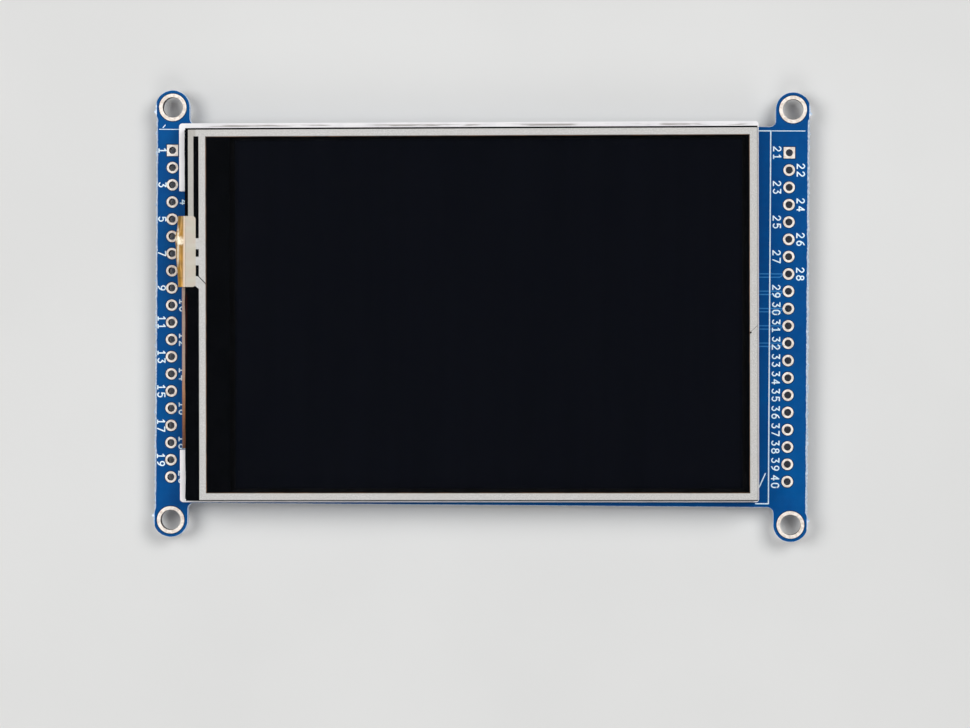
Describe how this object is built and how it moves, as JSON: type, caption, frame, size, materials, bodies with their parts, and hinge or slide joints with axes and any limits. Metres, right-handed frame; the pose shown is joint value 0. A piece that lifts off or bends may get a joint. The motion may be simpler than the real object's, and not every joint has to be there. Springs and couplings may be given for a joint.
{
  "type": "tft display module",
  "caption": "Flat colour display module: backlit liquid crystal panel with a resistive touch sheet on a blue carrier board with pin-hole columns and corner mounting ears.",
  "frame": {"origin": "on the surface that the tallest parts of the back stand on, under the centre of the four mounting holes", "axes": "+X along the board from its left pin column to its right, +Y up the picture, +Z out of the screen"},
  "size_m": [0.0972, 0.066, 0.0084],
  "materials": {
    "blue_mask": "glossy blue solder mask over glass-fibre laminate",
    "plated_pads": "tinned copper plating, satin",
    "white_foam": "white double-sided foam tape",
    "frame_white": "satin white moulded plastic",
    "reflector": "bright white film",
    "light_guide": "clear acrylic sheet",
    "diffuser_film": "matt translucent film",
    "prism_film": "finely ribbed clear film",
    "black_tape": "matt black tape",
    "white_flex": "white covered flexible circuit",
    "led_package": "white packages with yellow phosphor",
    "polariser": "dark neutral polarising film",
    "panel_glass": "thin polished glass",
    "driver_silicon": "polished silicon die",
    "amber_flex": "amber polyimide flexible circuit",
    "stiffener_blue": "blue stiffener film",
    "touch_glass": "polished soda-lime glass over a black tape",
    "spacer_ink": "dark adhesive spacer",
    "printed_silver": "printed silver paste, satin",
    "touch_film": "clear glossy polyester film",
    "touch_flex": "golden polyimide flexible circuit",
    "socket_plastic": "dark high-temperature plastic",
    "latch_plastic": "black plastic",
    "contact_metal": "gold-flashed spring bronze",
    "tin_metal": "tinned metal, satin",
    "shell_steel": "rolled stainless sheet",
    "slider_plastic": "cream plastic",
    "spring_wire": "drawn steel wire",
    "chip_plastic": "black moulding compound",
    "ferrite": "dark grey sintered ferrite",
    "copper_wire": "enamelled copper winding",
    "tantalum_yellow": "yellow moulded case",
    "ceramic_brown": "fired brown ceramic",
    "resistor_black": "black glazed ceramic"
  },
  "bodies": {
    "module_body": {"board": "blue_mask", "mount_hole_plating": "plated_pads", "header_pads_left": "plated_pads", "header_pads_right": "plated_pads", "jumper_pads": "plated_pads", "foam_tape": "white_foam", "panel_frame": "frame_white", "reflector_film": "reflector", "light_guide": "light_guide", "diffuser_sheet": "diffuser_film", "prism_film_lower": "prism_film", "prism_film_upper": "prism_film", "rim_tape": "black_tape", "led_flex": "white_flex", "backlight_leds": "led_package", "rear_polariser": "polariser", "tft_glass": "panel_glass", "colour_filter_glass": "panel_glass", "front_polariser": "polariser", "driver_chip": "driver_silicon", "display_flex": "amber_flex", "flex_stiffener": "stiffener_blue", "touch_gasket": "black_tape", "touch_glass": "touch_glass", "touch_spacer": "spacer_ink", "silver_bands": "printed_silver", "touch_film": "touch_film", "touch_flex": "touch_flex", "flex_socket_housing": "socket_plastic", "flex_socket_contacts": "contact_metal", "flex_socket_anchors": "tin_metal", "card_socket_base": "socket_plastic", "card_socket_shell": "shell_steel", "card_contacts": "contact_metal", "card_spring": "spring_wire", "card_cam_wire": "spring_wire", "card_switch": "contact_metal", "logic_chip_bodies": "chip_plastic", "logic_chip_leads": "tin_metal", "regulator_body": "chip_plastic", "regulator_leads": "tin_metal", "small_chip_bodies": "chip_plastic", "small_chip_leads": "tin_metal", "coil_core": "ferrite", "coil_winding": "copper_wire", "coil_shield": "ferrite", "coil_terminals": "tin_metal", "diode_body": "chip_plastic", "diode_leads": "tin_metal", "tantalum_bodies": "tantalum_yellow", "tantalum_leads": "tin_metal", "ceramic_capacitor_bodies": "ceramic_brown", "ceramic_capacitor_ends": "tin_metal", "resistor_bodies": "resistor_black", "resistor_ends": "tin_metal"},
    "socket_latch": {"flex_socket_latch": "latch_plastic"},
    "card_pusher": {"card_slider": "slider_plastic"}
  },
  "joints": [
    {"name": "latch_hinge", "type": "hinge", "parent": "module_body", "child": "socket_latch", "pos_m": [-0.0315, -0.00285, 0.0004], "axis": [0, -1, 0], "range_deg": [0, 95]},
    {"name": "card_push", "type": "slide", "parent": "module_body", "child": "card_pusher", "axis": [0, 1, 0], "range_m": [0, 0.0015], "stiffness_N_per_m": 150, "springref_m": -0.001, "deforming": ["card_spring"]}
  ]
}
